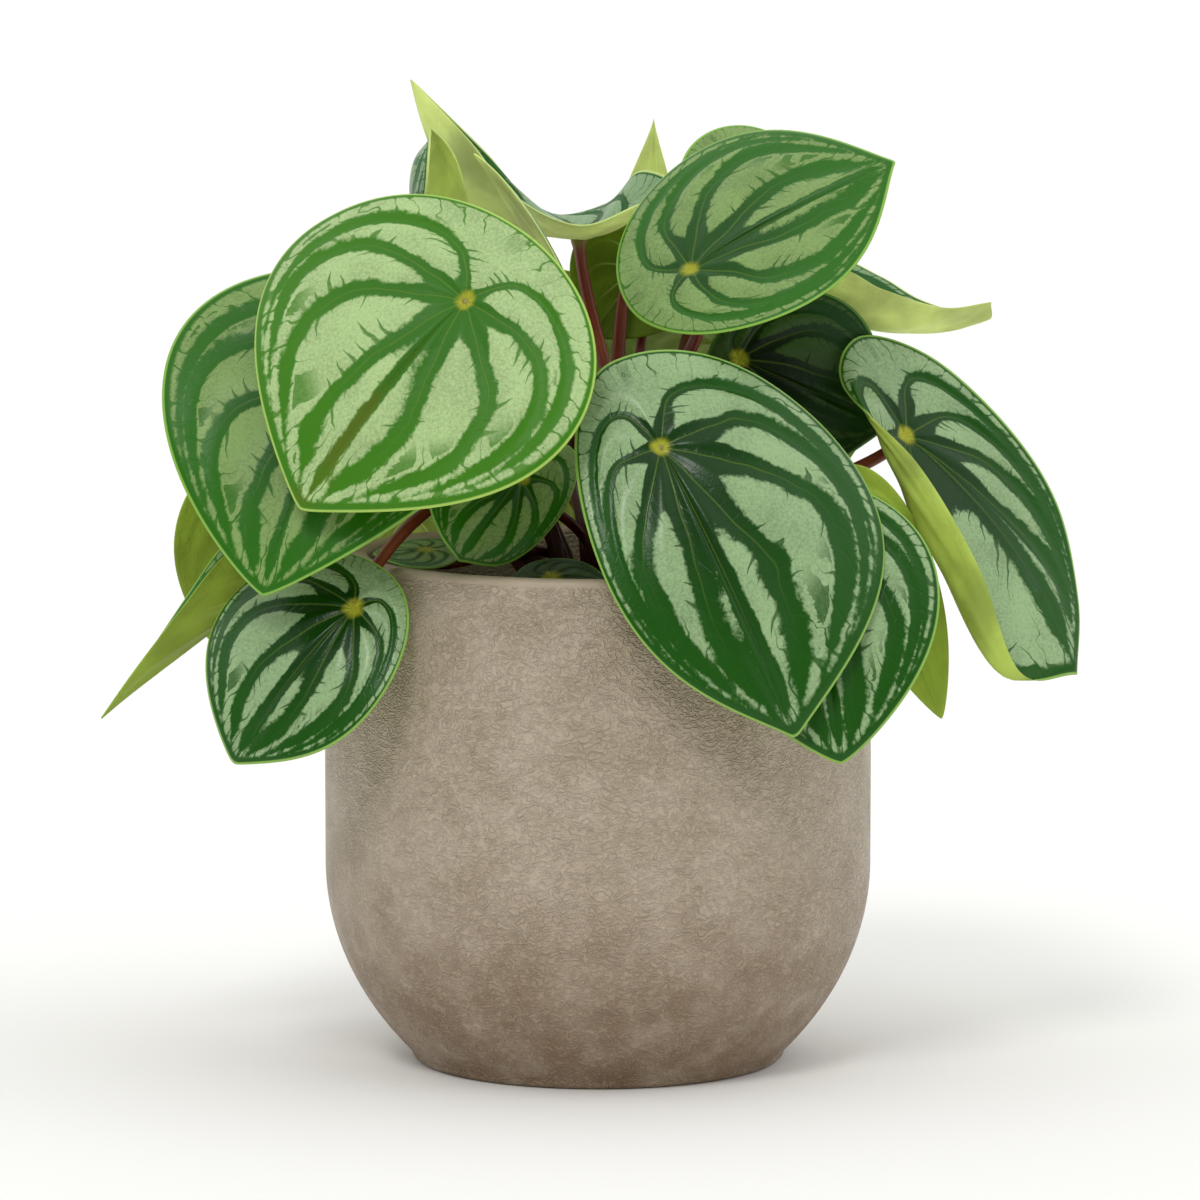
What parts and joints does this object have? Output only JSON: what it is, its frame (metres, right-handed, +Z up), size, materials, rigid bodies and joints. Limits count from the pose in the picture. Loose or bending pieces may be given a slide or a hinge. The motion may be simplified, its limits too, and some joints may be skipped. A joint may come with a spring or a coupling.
{
  "type": "potted peperomia",
  "caption": "Bushy peperomia house plant with striped shield-shaped leaves on dark red stalks, growing in a round ceramic pot with a leathery surface.",
  "frame": {"origin": "middle of the pot's flat base, on the surface it stands on", "axes": "+Z up along the pot's axis, -Y towards the side that the plant shows best, +X to the right of that side"},
  "size_m": [0.257, 0.1885, 0.26],
  "materials": {
    "pot": "matte, fine wrinkled relief",
    "soil": "rough",
    "crown": "rough",
    "leaf": "satin, striped in silver and dark green",
    "stalk": "satin"
  },
  "bodies": {
    "root": {"crown": "crown", "leaf_back_1": "leaf", "leaf_back_2": "leaf", "leaf_back_3": "leaf", "leaf_back_4": "leaf", "leaf_back_5": "leaf", "leaf_back_6": "leaf", "leaf_back_left": "leaf", "leaf_back_top": "leaf", "leaf_behind_low_right": "leaf", "leaf_centre_shaded": "leaf", "leaf_centre_small": "leaf", "leaf_crest": "leaf", "leaf_curled_right": "leaf", "leaf_drooping_left": "leaf", "leaf_front_left": "leaf", "leaf_front_right": "leaf", "leaf_hood": "leaf", "leaf_inner_low": "leaf", "leaf_left": "leaf", "leaf_low_left": "leaf", "leaf_low_right": "leaf", "leaf_right": "leaf", "leaf_rim_small": "leaf", "leaf_shaded_right": "leaf", "leaf_spike": "leaf", "leaf_strip": "leaf", "leaf_top_right": "leaf", "pot": "pot", "soil": "soil", "stalk_back_1": "stalk", "stalk_back_2": "stalk", "stalk_back_3": "stalk", "stalk_back_4": "stalk", "stalk_back_5": "stalk", "stalk_back_6": "stalk", "stalk_back_left": "stalk", "stalk_back_top": "stalk", "stalk_behind_low_right": "stalk", "stalk_centre_shaded": "stalk", "stalk_centre_small": "stalk", "stalk_crest": "stalk", "stalk_curled_right": "stalk", "stalk_drooping_left": "stalk", "stalk_front_left": "stalk", "stalk_front_right": "stalk", "stalk_hood": "stalk", "stalk_inner_low": "stalk", "stalk_left": "stalk", "stalk_low_left": "stalk", "stalk_low_right": "stalk", "stalk_right": "stalk", "stalk_rim_small": "stalk", "stalk_shaded_right": "stalk", "stalk_spike": "stalk", "stalk_strip": "stalk", "stalk_top_right": "stalk"}
  },
  "joints": []
}
